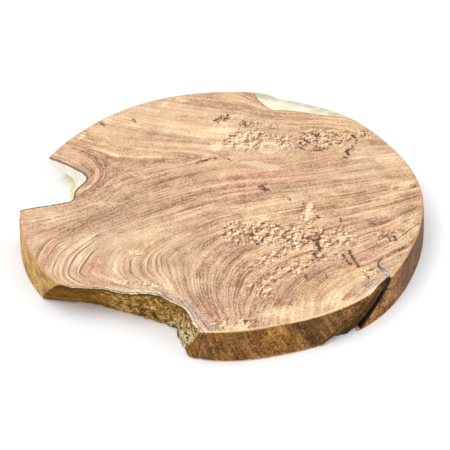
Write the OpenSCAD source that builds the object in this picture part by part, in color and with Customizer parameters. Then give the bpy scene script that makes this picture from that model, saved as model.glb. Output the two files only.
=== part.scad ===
/* [Board] */
// Diameter of the circle that the rim is sawn to
board_diameter = 302; // [250:1:420]
// Thickness of the slab
board_thickness = 28.5; // [20:0.5:50]
// Radius that softens the top edge of the sawn rim
top_round = 2; // [1:0.25:4]
// Radius that eases the bottom edge
foot_round = 1; // [0.5:0.25:3]
// How far the hand-guided saw strays from the circle
saw_wander = 0.9; // [0:0.1:2]
// How far the sawn rim leans outwards from top to bottom
saw_lean = 0.6; // [-1:0.1:2]

/* [Notch, upper left] */
// Direction of the notch, in degrees from the board's right
notch_angle = 166.6; // [158:0.1:172]
// Width of the notch along the rim, at the top
notch_width = 70; // [50:1:80]
// Depth of the notch, at the top
notch_depth = 40; // [25:1:50]
// How far the root wall of the notch leans under the top
notch_undercut = 26; // [0:1:30]
// Shape of that lean: 1 is straight, more bulges outwards, less is hollow
notch_curl = 1.6; // [0.6:0.1:2]
// Thickness of the sapwood on the notch wall, at the top edge
notch_skin_top = 1.2; // [1:0.1:3]
// Thickness of the sapwood on the notch wall, at the bottom edge
notch_skin_foot = 3; // [1:0.1:4]
// Height of the lumps on the notch wall
notch_gnarl = 0.4; // [0:0.1:0.8]

/* [Scallop, front left] */
// Direction of the scallop, in degrees from the board's right
scallop_angle = -119.2; // [-125:0.1:-112]
// Width of the scallop along the rim, at the top
scallop_width = 118; // [90:1:130]
// Depth of the scallop, at the top
scallop_depth = 35; // [20:1:45]
// How far the root wall of the scallop leans under the top
scallop_undercut = 28; // [0:1:32]
// Shape of that lean: 1 is straight, more bulges outwards, less is hollow
scallop_curl = 0.8; // [0.6:0.1:2]
// Thickness of the sapwood on the scallop wall, at the top edge
scallop_skin_top = 2.6; // [2:0.1:4]
// Thickness of the sapwood on the scallop wall, at the bottom edge
scallop_skin_foot = 3.4; // [2:0.1:5]
// Height of the lumps on the scallop wall
scallop_gnarl = 0.9; // [0:0.1:1]
// How far the sawn rim runs in at the bottom of the scallop's right corner
corner_run_in = 6.5; // [0:0.5:8]

/* [Natural edge, back right] */
// Direction of the natural edge, in degrees from the board's right
back_angle = 63; // [55:0.1:70]
// Length of the natural edge along the rim
back_width = 88; // [60:1:110]
// How far the natural edge lies inside the circle
back_depth = 7.2; // [2:0.1:10]
// How far the natural edge leans in towards the bottom
back_undercut = 5; // [0:0.5:10]
// Widest part of the sapwood band
back_sapwood = 17; // [8:0.5:24]
// Height of the lumps on the natural edge
back_gnarl = 0.5; // [0:0.1:1]

/* [Cleft, front right] */
// Direction of the mouth of the crack at the top
cleft_top_angle = -36.5; // [-42:0.1:-32]
// Direction of the mouth of the crack at the bottom
cleft_foot_angle = -51.8; // [-56:0.1:-44]
// Width of the open crack where it meets the top
crack_top_gap = 4.4; // [3:0.1:6]
// Width of the open crack where it meets the bottom
crack_foot_gap = 2.6; // [2:0.1:4]
// How far the crack runs in from the rim at the top
crack_top_depth = 17; // [14:0.5:22]
// How far the crack runs in from the rim at the bottom
crack_foot_depth = 14; // [12:0.5:20]
// Length of the hooked end of the crack at the top
crack_top_hook = 12; // [4:0.5:14]
// Length of the hooked end of the crack at the bottom
crack_foot_hook = 4; // [3:0.5:10]
// Width of the broken flank beside the crack, at the top
flank_top_width = 14; // [8:0.5:18]
// Width of the broken flank beside the crack, at the bottom
flank_foot_width = 28; // [20:0.5:32]
// How suddenly the flank narrows towards the top: 1 is evenly
flank_narrowing = 4; // [1:0.5:5]
// How far the flank is broken back, at the top
flank_top_depth = 1.2; // [0.8:0.1:2]
// How far the flank is broken back, at the bottom
flank_foot_depth = 5.7; // [3:0.1:7]
// How suddenly the flank falls back towards the bottom: 1 is evenly
flank_fall = 3; // [1:0.5:4]
// Height of the lumps on the broken flank
flank_gnarl = 0.3; // [0:0.1:0.5]
// Thickness of the grown-in bark, at the top
bark_top = 1; // [0.8:0.1:2]
// Thickness of the grown-in bark, at the bottom
bark_foot = 2.4; // [1:0.1:3]
// How deep the filler goes down into the crack from the top
filler_depth = 7; // [4.5:0.5:12]

/* [Hidden] */

radius = board_diameter / 2;
degrees_per_mm = 180 / (PI * radius);

// Points on one span of a natural edge, and the longest step along the sawn rim in degrees
span_steps = 3;
rim_step = 3;

// The rings run this far past the top and bottom, where a flat cut ends them
trim_spare = 1;

// Depth over which the softened edges fade out along a natural wall
fade_depth = 2 * max(top_round, foot_round);

// The saw's wander: each row has its number of waves round the rim, its share and its direction
wander_waves = [
    [2, 1, 125],
    [3, 1, -115],
    [4, 0.55, -60],
    [5, 0.65, 170],
    [6, 1, 50],
    [7, 0.55, 30]
];

// Each row of a natural edge, in order round the rim: share of the width, share of the depth,
// shares of the undercut that the bottom is moved along the rim and inwards, share of the sapwood
notch_line = [
    [-0.5, 0, -0.98, 0, 1],
    [-0.47, 0.32, -0.92, -0.23, 1],
    [-0.43, 0.59, -0.88, -0.42, 1],
    [-0.375, 0.85, -0.77, -0.71, 1],
    [-0.28, 0.99, -0.67, -0.87, 1],
    [-0.15, 1, -0.65, -0.65, 1],
    [-0.03, 0.96, -0.54, -0.35, 1],
    [0.085, 0.935, -0.38, -0.19, 1],
    [0.19, 0.95, -0.31, -0.27, 1],
    [0.28, 0.95, -0.33, -0.46, 1],
    [0.345, 0.84, -0.35, -0.6, 1],
    [0.405, 0.59, -0.37, -0.52, 1],
    [0.46, 0.23, -0.35, -0.23, 1],
    [0.5, 0, -0.31, 0, 1]
];
scallop_line = [
    [-0.5, 0, -0.96, 0, 0.45],
    [-0.46, 0.07, -0.95, 0.08, 0.45],
    [-0.41, 0.22, -0.98, 0.08, 0.45],
    [-0.34, 0.4, -1, 0.13, 0.45],
    [-0.27, 0.56, -0.93, 0.21, 0.45],
    [-0.2, 0.62, -0.79, 0.31, 0.5],
    [-0.145, 0.66, -0.61, 0.37, 0.6],
    [-0.07, 0.78, -0.39, 0.36, 0.7],
    [0, 0.92, -0.21, 0.25, 0.75],
    [0.075, 0.99, -0.11, 0.18, 0.75],
    [0.155, 1, -0.04, 0.16, 0.7],
    [0.235, 0.91, -0.1, 0.24, 0.7],
    [0.3, 0.85, -0.2, 0.24, 0.75],
    [0.36, 0.75, -0.3, 0.17, 0.85],
    [0.405, 0.56, -0.37, 0.21, 1],
    [0.435, 0.35, -0.36, 0.24, 1],
    [0.47, 0.16, -0.34, 0.22, 1],
    [0.505, 0, -0.26, 0, 1]
];
back_line = [
    [-0.5, 0, 0, 0, 0.1],
    [-0.41, 0.18, 0, 0.4, 0.2],
    [-0.27, 0.35, 0, 0.8, 0.5],
    [-0.14, 0.7, 0, 1, 0.6],
    [0, 0.86, 0, 1, 0.69],
    [0.11, 0.88, 0, 1, 0.8],
    [0.19, 1, 0, 1, 0.84],
    [0.26, 1, 0, 1, 0.9],
    [0.33, 0.45, 0, 0.8, 1],
    [0.4, 0.14, 0, 0.5, 0.82],
    [0.455, 0.05, 0, 0.2, 0.55],
    [0.5, 0, 0, 0, 0.1]
];

// Each row of the broken flank: share of its width and share of its depth
flank_line = [[0, 0], [0.24, 0.72], [0.42, 0.88], [0.61, 1], [0.77, 0.62], [0.9, 0.7], [1, 0.8]];

// Least length of sawn rim that belongs to the sapwood, or the bark, at each end of its wall
skin_end = 1;
bark_end = 1;

// Middle line of the crack: mm along the rim, share of the crack's depth and share of its hook
crack_line = [[0, 0, 0], [0.8, 0.22, 0], [3, 0.6, 0], [4.6, 0.86, 0], [5.8, 0.97, 0.2], [5.8, 1, 1]];
crack_tip_gap = 0.9;
// The filler and the left side of the crack start at this row, past the bark
crack_left_start = 3;

// A natural edge: direction, width, depth, undercut, sapwood at the top and bottom, lumps, rows,
// whether its sapwood is measured square to the wall or straight in from the rim, and the curl
notch = [
    notch_angle, notch_width, notch_depth, notch_undercut,
    notch_skin_top, notch_skin_foot, notch_gnarl, notch_line, true, notch_curl
];
scallop = [
    scallop_angle, scallop_width, scallop_depth, scallop_undercut,
    scallop_skin_top, scallop_skin_foot, scallop_gnarl, scallop_line, true, scallop_curl
];
back = [
    back_angle, back_width, back_depth, back_undercut,
    back_sapwood, back_sapwood, back_gnarl, back_line, false, 1
];

// Heights of the rings, from the bottom up; those from the filler's floor up also shape the filler
foot_arc = [90, 0];
top_arc = [0, 30, 60, 90];
wall_steps = 5;
filler_floor = board_thickness - filler_depth;
filler_levels = concat(
    [filler_floor, (filler_floor + board_thickness - top_round) / 2],
    [for (turn = top_arc) board_thickness - top_round * (1 - sin(turn))],
    [board_thickness + trim_spare]
);
levels = concat(
    [-trim_spare],
    [for (turn = foot_arc) foot_round * (1 - sin(turn))],
    [for (i = [1 : wall_steps - 1]) mix(foot_round, filler_floor, i / wall_steps)],
    filler_levels
);

function mix(from, to, share) = from + (to - from) * share;

// Height as a share of the thickness, kept between bottom and top
function height_share(z) = min(1, max(0, z / board_thickness));

// How far the rounded edges draw the outline in at a height
function round_inset(r, left) = left >= r ? 0 : r - sqrt(r * r - pow(r - max(0, left), 2));
function edge_inset(z) = round_inset(foot_round, z) + round_inset(top_round, board_thickness - z);

// Where the scallop meets the sawn rim at the bottom, and how far to its left and right the rim
// runs in there, in degrees
corner_end = scallop_line[len(scallop_line) - 1];
corner_angle = scallop_angle
    + (corner_end[0] * scallop_width + corner_end[2] * scallop_undercut) * degrees_per_mm;
corner_fade = [3, 20];
function corner_share(angle) =
    let (off = angle - corner_angle)
    pow(max(0, 1 - abs(off) / corner_fade[off < 0 ? 0 : 1]), 2);

// Radius of the sawn rim in a direction
function wander(angle) = saw_wander * [
    for (wave = wander_waves) wave[1] * cos(wave[0] * angle - wave[2])
] * [for (wave = wander_waves) 1];
function rim_radius(angle, z) =
    radius + wander(angle)
    + (1 - height_share(z)) * (saw_lean - corner_run_in * corner_share(angle));

// A point by mm along the rim from a direction, and mm in from the sawn rim
function place(direction, point, z) =
    let (
        angle = direction + point[0] * degrees_per_mm,
        inset = edge_inset(z) * max(0, 1 - point[1] / fade_depth),
        r = rim_radius(angle, z) - point[1] - inset
    ) [r * cos(angle), r * sin(angle), z];

// Smooth curve through rows of any length
function blend(a, b, c, d, t) =
    0.5 * (2 * b + (c - a) * t + (2 * a - 5 * b + 4 * c - d) * t * t
        + (3 * b - a - 3 * c + d) * t * t * t);
function smooth(rows, steps) =
    let (last = len(rows) - 1)
    concat(
        [for (i = [0 : last - 1], k = [0 : steps - 1])
            blend(rows[max(0, i - 1)], rows[i], rows[i + 1], rows[min(last, i + 2)], k / steps)],
        [rows[last]]
    );

// Step sideways off a line of points, into the wood, with lengths true to the bent grid
function side_step(line, i) =
    let (
        run = line[min(len(line) - 1, i + 1)] - line[max(0, i - 1)],
        squeeze = (radius - line[i][1]) / radius,
        along = run[0] * squeeze,
        size = norm([along, run[1]])
    ) [-run[1] / size / squeeze, along / size];

// Lumps of a root wall, which die out at its ends and towards the top edge. Each row of the ripples
// has its degrees per mm along the wall and up it, where it starts, and its share.
lump_ripples = [[27, 9, 0, 1], [49, -17, 50, 0.7]];
lump_end_fade = 8;
lump_top_fade = 3;
function lump(along, z, share) =
    let (
        ends = min(1, lump_end_fade * share, lump_end_fade * (1 - share)),
        top = min(1, lump_top_fade * (1 - height_share(z)))
    ) ends * top * (
        [for (row = lump_ripples) row[3] * sin(along * row[0] + z * row[1] + row[2])]
        * [for (row = lump_ripples) 1]
    );

// The visible face of a natural edge: mm along, mm deep and mm of sapwood at each point
function outer_line(edge, z) =
    let (
        skin = mix(edge[5], edge[4], height_share(z)),
        foot = pow(1 - height_share(z), edge[9]),
        rows = smooth([for (row = edge[7]) [
            row[0] * edge[1] + row[2] * edge[3] * foot,
            row[1] * edge[2] + row[3] * edge[3] * foot,
            row[4] * skin
        ]], span_steps),
        last = len(rows) - 1
    ) [for (i = [0 : last])
        let (
            side = side_step(rows, i),
            rise = edge[6] * lump(rows[i][0], z, i / last)
        ) [rows[i][0] + side[0] * rise, rows[i][1] + side[1] * rise, rows[i][2]]
    ];

// Where the sapwood ends and the heartwood starts, with both ends out on the sawn rim
function inner_line(edge, z) =
    let (line = outer_line(edge, z), last = len(line) - 1)
    [for (i = [0 : last])
        let (side = edge[8] ? side_step(line, i) : [0, 1], skin = line[i][2])
        i == 0 ? [line[i][0] - max(skin, skin_end), 0]
        : i == last ? [line[i][0] + max(skin, skin_end), 0]
        : [line[i][0] + side[0] * skin, line[i][1] + side[1] * skin]
    ];

function placed(edge, line, z) = [for (point = line) place(edge[0], point, z)];
function outer_points(edge, z) = placed(edge, outer_line(edge, z), z);
function inner_points(edge, z) = placed(edge, inner_line(edge, z), z);

// The cleft slants across the rim, so its direction and sizes change with height
function at_height(foot, top, z) = mix(foot, top, height_share(z));
function cleft_angle(z) = at_height(cleft_foot_angle, cleft_top_angle, z);
function crack_gap(z) = at_height(crack_foot_gap, crack_top_gap, z);
function crack_depth(z) = at_height(crack_foot_depth, crack_top_depth, z);
function crack_hook(z) = at_height(crack_foot_hook, crack_top_hook, z);
function flank_depth(z) =
    mix(flank_top_depth, flank_foot_depth, pow(1 - height_share(z), flank_fall));
function flank_width(z) =
    mix(flank_foot_width, flank_top_width, pow(height_share(z), flank_narrowing));
function bark(z) = at_height(bark_foot, bark_top, z);

function flank_outer(z) =
    let (rows = smooth(flank_line, span_steps), last = len(rows) - 1)
    [for (i = [0 : last])
        let (along = flank_width(z) * (1 - rows[i][0]))
        [
            -crack_gap(z) / 2 - along,
            flank_depth(z) * rows[i][1] + flank_gnarl * lump(along, z, i / last)
        ]
    ];
function flank_inner(z) =
    let (line = flank_outer(z), last = len(line) - 1)
    concat([line[0] - [bark_end, 0]], [for (i = [1 : last]) line[i] + [0, bark(z)]]);

// One side of the crack, from its mouth to the end of its hook: 1 is the left, -1 the right
function crack_side(z, side) =
    let (
        middle = [for (row = crack_line) [
            row[0] + row[2] * crack_hook(z),
            row[1] * crack_depth(z)
        ]],
        last = len(middle) - 1
    ) [for (i = [0 : last])
        middle[i] + side_step(middle, i) * side * mix(crack_gap(z), crack_tip_gap, i / last) / 2
    ];
function crack_mouth(z) = [crack_gap(z) / 2, 0];
function crack_inside(z) =
    let (left = crack_side(z, 1), right = crack_side(z, -1), last = len(left) - 1)
    concat(
        [for (i = [crack_left_start : last]) left[i]],
        [for (i = [last : -1 : 1]) right[i]]
    );
function cleft_line(z) = concat(flank_inner(z), crack_inside(z), [crack_mouth(z)]);
function filler_line(z) =
    let (flank = flank_inner(z)) concat([flank[len(flank) - 1]], crack_inside(z));
function cleft_points(line, z) = [for (point = line) place(cleft_angle(z), point, z)];

// Directions at which a natural edge meets the sawn rim
function first_angle(edge, z) = edge[0] + inner_line(edge, z)[0][0] * degrees_per_mm;
function last_angle(edge, z) =
    let (line = inner_line(edge, z))
    edge[0] + line[len(line) - 1][0] * degrees_per_mm;
function cleft_first_angle(z) = cleft_angle(z) + flank_inner(z)[0][0] * degrees_per_mm;
function cleft_last_angle(z) = cleft_angle(z) + crack_mouth(z)[0] * degrees_per_mm;

// Sawn rim between two edges, without its end points, with the same count at every height
function sawn_arc(from, to, z, count) = [
    for (i = [1 : count - 1]) place(mix(from, to, i / count), [0, 0], z)
];
function arc_count(from, to) = ceil((to - from) / rim_step);
function half_span(edge) = edge[1] / 2 * degrees_per_mm;
right_count = arc_count(cleft_top_angle, back_angle - half_span(back));
top_count = arc_count(back_angle + half_span(back), notch_angle - half_span(notch));
left_count = arc_count(notch_angle + half_span(notch), scallop_angle + 360 - half_span(scallop));
front_count = arc_count(scallop_angle + half_span(scallop), cleft_top_angle);

function slab_ring(z) = concat(
    cleft_points(cleft_line(z), z),
    sawn_arc(cleft_last_angle(z), first_angle(back, z), z, right_count),
    inner_points(back, z),
    sawn_arc(last_angle(back, z), first_angle(notch, z), z, top_count),
    inner_points(notch, z),
    sawn_arc(last_angle(notch, z), first_angle(scallop, z) + 360, z, left_count),
    inner_points(scallop, z),
    sawn_arc(last_angle(scallop, z), cleft_first_angle(z), z, front_count)
);

function reversed(list) = [for (i = [len(list) - 1 : -1 : 0]) list[i]];
function skin_ring(edge, z) = concat(outer_points(edge, z), reversed(inner_points(edge, z)));
function bark_ring(z) = cleft_points(concat(flank_outer(z), reversed(flank_inner(z))), z);
function filler_ring(z) = reversed(cleft_points(filler_line(z), z));

// Solid through rings of equally many points, each listed anticlockwise from above. A lining lists
// the wall that it shares with the slab the other way round, so it also splits its faces the other
// way, and the two walls have the same triangles.
module loft(rings, lining = false) {
    count = len(rings[0]);
    top = (len(rings) - 1) * count;
    sides = [
        for (k = [0 : len(rings) - 2], i = [0 : count - 1])
            let (a = k * count + i, b = k * count + (i + 1) % count)
            each lining
                ? [[a, a + count, b + count], [a, b + count, b]]
                : [[a, a + count, b], [b, a + count, b + count]]
    ];
    polyhedron(
        points = [for (ring = rings) each ring],
        faces = concat([[for (i = [0 : count - 1]) i]], sides, [[for (i = [count - 1 : -1 : 0]) top + i]])
    );
}

// The two flat faces: everything outside the slab's thickness is cut off
module flat_cut() {
    size = 2 * board_diameter;
    intersection() {
        children();
        translate([-size / 2, -size / 2, 0]) cube([size, size, board_thickness]);
    }
}

module heartwood_slab() {
    color("peru") flat_cut() loft([for (z = levels) slab_ring(z)]);
}

module sapwood_back() {
    color("cornsilk") flat_cut() loft([for (z = levels) skin_ring(back, z)], lining = true);
}

module sapwood_notch() {
    color("ivory") flat_cut() loft([for (z = levels) skin_ring(notch, z)], lining = true);
}

module sapwood_scallop() {
    color("darkgoldenrod") flat_cut() loft([for (z = levels) skin_ring(scallop, z)], lining = true);
}

module cleft_bark() {
    color("saddlebrown") flat_cut() loft([for (z = levels) bark_ring(z)], lining = true);
}

module crack_filler() {
    color("gray") flat_cut() loft([for (z = filler_levels) filler_ring(z)], lining = true);
}

heartwood_slab();
sapwood_back();
sapwood_notch();
sapwood_scallop();
cleft_bark();
crack_filler();
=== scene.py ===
"""Looks of a round chopping board sawn from root wood: wood figure, wear, camera and light.

Lengths in the tables are millimetres in the frame's plan, x to the right and y away from the
viewer, with the origin at the middle of the board. Angles are degrees.
"""

import itertools
import math

import bpy
import numpy as np
from mathutils import Matrix, Vector
from mathutils.bvhtree import BVHTree


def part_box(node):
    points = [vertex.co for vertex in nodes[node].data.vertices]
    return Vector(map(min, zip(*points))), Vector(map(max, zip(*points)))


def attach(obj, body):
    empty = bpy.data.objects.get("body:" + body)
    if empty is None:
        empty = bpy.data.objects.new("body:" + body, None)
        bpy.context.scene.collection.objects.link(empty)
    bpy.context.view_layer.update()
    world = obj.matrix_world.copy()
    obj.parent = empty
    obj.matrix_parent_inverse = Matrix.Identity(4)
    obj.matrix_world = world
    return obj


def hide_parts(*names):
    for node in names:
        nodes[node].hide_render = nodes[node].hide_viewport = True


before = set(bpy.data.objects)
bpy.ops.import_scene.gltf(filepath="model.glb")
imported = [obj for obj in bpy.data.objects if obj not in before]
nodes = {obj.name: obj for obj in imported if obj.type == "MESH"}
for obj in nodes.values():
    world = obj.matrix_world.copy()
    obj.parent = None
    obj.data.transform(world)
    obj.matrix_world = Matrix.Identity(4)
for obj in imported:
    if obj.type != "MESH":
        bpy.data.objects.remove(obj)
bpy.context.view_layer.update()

MM = 0.001
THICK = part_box("heartwood_slab")[1][2] / MM


# Numbers on points


def smoothstep(low, high, value):
    """A smooth step from 0 at low to 1 at high."""
    share = np.clip((value - low) / (high - low), 0, 1)
    return share * share * (3 - 2 * share)


# Numbers with scattered bits, which turn the place of a cell into a random number
CELL_STIR = (73856093, 19349663, 83492791)
SEED_STIR, FIRST_STIR, LAST_STIR = 9973, 1274126177, 668265263


def lattice(cells, seed):
    """A random number from 0 to 1 for each whole-numbered cell."""
    mixed = np.bitwise_xor.reduce(cells * CELL_STIR, axis=1)
    mixed = (mixed ^ seed * SEED_STIR) * FIRST_STIR
    mixed ^= mixed >> 15
    mixed = (mixed & 0xFFFFFFF) * LAST_STIR
    mixed ^= mixed >> 13
    return (mixed & 0xFFFF) / 0xFFFF


def lumps(points, size, seed):
    """Smooth random heights from -1 to 1, with bumps about size apart."""
    scaled = points / size
    cells = np.floor(scaled).astype(np.int64)
    part = scaled - cells
    part = part * part * (3 - 2 * part)
    total = np.zeros(len(points))
    for corner in itertools.product((0, 1), repeat=3):
        weight = np.where(corner, part, 1 - part).prod(axis=1)
        total += weight * lattice(cells + np.array(corner), seed)
    return total * 2 - 1


def ovals(points, table):
    """The strongest of some soft-edged ovals: x, y, half length, half width, turn, strength."""
    held = np.zeros(len(points))
    for x, y, length, width, turn, strength in table:
        off = points[:, :2] - (x, y)
        c, s = math.cos(math.radians(turn)), math.sin(math.radians(turn))
        along = (off[:, 0] * c + off[:, 1] * s) / length
        across = (off[:, 1] * c - off[:, 0] * s) / width
        held = np.maximum(held, strength * np.exp(-(along**2 + across**2)))
    return held


# The most that the next function returns
FAR = 30.0


def outside(points, table):
    """How far points lie outside some lines, each given as its half width and its points.

    The measure is the squared distance less the squared half width: it stays smooth over a
    line, so a mesh can carry it, and it is less than 0 inside a line.
    """
    held = np.full(len(points), FAR)
    for half_width, *line in table:
        for start, end in zip(line, line[1:]):
            start, run = np.array(start, float), np.subtract(end, start)
            off = points[:, :2] - start
            share = np.clip(off @ run / (run @ run), 0, 1)
            gap = ((off - share[:, None] * run) ** 2).sum(axis=1)
            held = np.minimum(held, gap - half_width**2)
    return held


def toward(points, table):
    """The strongest of some soft stretches of rim: direction, half angle, strength."""
    angle = np.degrees(np.arctan2(points[:, 1], points[:, 0]))
    held = np.zeros(len(points))
    for direction, half, strength in table:
        off = (angle - direction + 180) % 360 - 180
        held = np.maximum(held, strength * np.exp(-((off / half) ** 2)))
    return held


# The way the grain runs: x, y, direction. A line of grain has the hills of the field below on
# its left, so it turns anticlockwise round a knot.
FLOW = [
    # Left, below the notch
    (-145, -8, 8), (-122, -4, 14), (-138, -28, 14), (-112, -16, 20), (-118, -34, 24),
    (-98, 6, 19), (-88, -18, 22), (-70, 12, 19), (-62, -8, 22), (-40, 2, 21), (-40, -18, 24),
    # Round the notch, and the seam beyond it
    (-122, 3, 14), (-108, 12, 30), (-98, 20, 48), (-92, 30, 72), (-90, 42, 95), (-96, 55, 122),
    (-108, 66, 142), (-122, 74, 152), (-82, 32, 26), (-78, 58, 158), (-74, 46, 14), (-60, 36, 16),
    (-42, 46, 12), (-40, 28, 16), (-22, 54, 8), (-20, 36, 9), (-18, 16, 14),
    # Upper left
    (-102, 84, 158), (-86, 72, 152), (-84, 100, 156), (-62, 80, 170), (-56, 98, 160),
    (-62, 118, 154), (-40, 86, 168), (-34, 70, 174), (-34, 106, 160), (-38, 132, 158),
    (-14, 124, 160), (-14, 92, 168), (-12, 72, 176), (4, 134, 158), (2, 108, 166),
    # Upper right, along the sapwood
    (16, 142, 126), (28, 130, 132), (40, 118, 150), (62, 114, 171), (88, 109, 166),
    (106, 100, 152), (48, 104, 172), (76, 102, 172), (92, 96, 160),
    # The two eyes of the burl, and the ridge beyond them
    (24, 62, -22), (38, 58, -2), (50, 66, 62), (50, 80, 118), (38, 88, 180), (26, 84, 236),
    (23, 72, 268), (60, 80, -66), (66, 70, -34), (78, 67, 2), (92, 74, 44), (92, 86, 128),
    (78, 95, 172), (64, 92, 206), (4, 60, -2), (12, 78, 190), (112, 66, -4), (130, 64, 4),
    (118, 86, 166), (108, 76, -10),
    # Right of the middle
    (4, 44, -3), (22, 44, -5), (44, 48, -16), (62, 46, -6), (84, 50, 6), (104, 48, 8),
    (132, 44, 8), (14, 26, 5), (44, 30, 1), (76, 34, 3), (108, 30, 8), (138, 24, 16),
    (28, 8, 13), (60, 12, 8), (86, 12, 10), (114, 10, 20), (140, 2, 22), (2, 4, 16),
    (12, -14, 20), (44, -12, 16), (78, -8, 13), (108, -14, 18), (134, -20, 40),
    # Arches at the lower left: rising sides, their tops, and the sides along the scallop
    (-140, -46, 62), (-130, -50, 66), (-120, -52, 64), (-108, -46, 54), (-94, -36, 44),
    (-78, -28, 34), (-60, -28, 30), (-88, -50, 54), (-74, -40, 42), (-56, -40, 40),
    (-134, -62, 78), (-124, -66, 86), (-115, -74, 92), (-106, -72, 88), (-98, -62, 72),
    (-90, -70, 84), (-79, -66, 84), (-68, -62, 72), (-68, -76, 100), (-58, -58, 58),
    (-58, -71, 92), (-48, -68, 98), (-48, -54, 54), (-40, -72, 108),
    (-120, -84, 122), (-110, -86, 142), (-96, -86, 156), (-100, -92, 172), (-82, -92, 160),
    (-76, -82, 122), (-64, -86, 128), (-66, -96, 156), (-52, -84, 128), (-50, -98, 146),
    (-40, -92, 112), (-36, -106, 122),
    # The upright band, and the bows to its right
    (-31, -84, 93), (-30, -70, 86), (-26, -58, 64), (-36, -56, 56), (-36, -42, 40),
    (-18, -44, 52), (-14, -28, 44), (-24, -26, 30), (-22, -72, 74), (-18, -58, 60), (-4, -34, 38),
    (-28, -102, 106), (-26, -118, 124), (-16, -134, 120), (-16, -104, 100), (-12, -88, 82),
    (-8, -120, 106), (-2, -104, 90), (-8, -66, 64), (-2, -52, 52), (0, -84, 72), (10, -70, 54),
    (12, -46, 40), (10, -98, 74), (6, -130, 96), (18, -112, 66), (22, -84, 50), (26, -58, 38),
    (28, -34, 26), (22, -128, 68), (36, -98, 50), (42, -72, 36), (46, -50, 26), (36, -116, 66),
    (56, -88, 40), (60, -64, 30), (62, -34, 16), (50, -112, 60), (50, -130, 88), (66, -124, 96),
    (70, -104, 62), (80, -116, 76), (76, -80, 34), (84, -56, 24), (90, -98, 48), (92, -114, 56),
    (100, -74, 34), (88, -34, 16), (106, -94, 48), (104, -50, 26), (112, -32, 20),
    (120, -62, 40), (124, -44, 40), (134, -40, 58),
]

# The field is solved on a grid that reaches past the rim, with cells of this size
FIELD_REACH = 155.0
FIELD_CELL = 2.5
# A place in the table holds the grain straight about this far round it
FLOW_HOLD = 6.0
# Pulls towards evenly spaced lines and a smooth grid, beside the pull to run with the grain
EVEN_PULL = 0.1
SMOOTH_PULL = 0.1
# Keeps the field's level from drifting
LEVEL_PULL = 1e-7
MOST_ROUNDS = 900
CLOSE_ENOUGH = 1e-10


def solve_field():
    """Heights on a grid that stay level along the grain, by conjugate gradients."""
    count = int(2 * FIELD_REACH / FIELD_CELL)
    middles = -FIELD_REACH + (np.arange(count) + 0.5) * FIELD_CELL
    y, x = np.meshgrid(middles, middles, indexing="ij")
    doubled = np.zeros((2, count, count))
    uphill = np.zeros((2, count, count))
    total = np.zeros((count, count))
    for place_x, place_y, direction in FLOW:
        turn = math.radians(direction)
        weight = ((x - place_x) ** 2 + (y - place_y) ** 2 + FLOW_HOLD**2) ** -2.0
        total += weight
        doubled[0] += weight * math.cos(2 * turn)
        doubled[1] += weight * math.sin(2 * turn)
        uphill[0] -= weight * math.sin(turn)
        uphill[1] += weight * math.cos(turn)
    turn = np.arctan2(doubled[1], doubled[0]) / 2
    along = np.cos(turn), np.sin(turn)
    across = -along[1], along[0]
    rise = (across[0] * uphill[0] + across[1] * uphill[1]) / total

    def slopes(held):
        a, b, c, d = held[:-1, :-1], held[:-1, 1:], held[1:, :-1], held[1:, 1:]
        return (b + d - a - c) / 2, (c + d - a - b) / 2, a - b - c + d

    def gathered(slope_x, slope_y, twist):
        held = np.zeros((count + 1, count + 1))
        held[:-1, :-1] += twist - (slope_x + slope_y) / 2
        held[:-1, 1:] += (slope_x - slope_y) / 2 - twist
        held[1:, :-1] += (slope_y - slope_x) / 2 - twist
        held[1:, 1:] += (slope_x + slope_y) / 2 + twist
        return held

    def pulls(held):
        slope_x, slope_y, twist = slopes(held)
        with_grain = slope_x * along[0] + slope_y * along[1]
        over_grain = EVEN_PULL * (slope_x * across[0] + slope_y * across[1])
        return LEVEL_PULL * held + gathered(
            with_grain * along[0] + over_grain * across[0],
            with_grain * along[1] + over_grain * across[1],
            SMOOTH_PULL * twist,
        )

    wanted = EVEN_PULL * rise * FIELD_CELL
    left = gathered(wanted * across[0], wanted * across[1], 0 * rise)
    held, step = np.zeros_like(left), left.copy()
    size = first = (left * left).sum()
    for _ in range(MOST_ROUNDS):
        pulled = pulls(step)
        share = size / (step * pulled).sum()
        held += share * step
        left -= share * pulled
        new_size = (left * left).sum()
        if new_size < CLOSE_ENOUGH * first:
            break
        step = left + new_size / size * step
        size = new_size
    return held


field_grid = solve_field()


def cubic_weights(part):
    """Weights of four neighbours in a row, for a smooth curve through the middle two."""
    return (
        part * (part * (2 - part) - 1) / 2,
        (part * part * (3 * part - 5) + 2) / 2,
        part * (part * (4 - 3 * part) + 1) / 2,
        part * part * (part - 1) / 2,
    )


def field_at(points):
    """Height in the field of grain lines: it is the same all along a line."""
    place = np.clip((points[:, :2] + FIELD_REACH) / FIELD_CELL, 1, len(field_grid) - 2.001)
    cell = np.floor(place).astype(int)
    part = place - cell
    total = np.zeros(len(points))
    for i, weight_x in enumerate(cubic_weights(part[:, 0])):
        for k, weight_y in enumerate(cubic_weights(part[:, 1])):
            total += weight_x * weight_y * field_grid[cell[:, 1] + k - 1, cell[:, 0] + i - 1]
    return total


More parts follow.
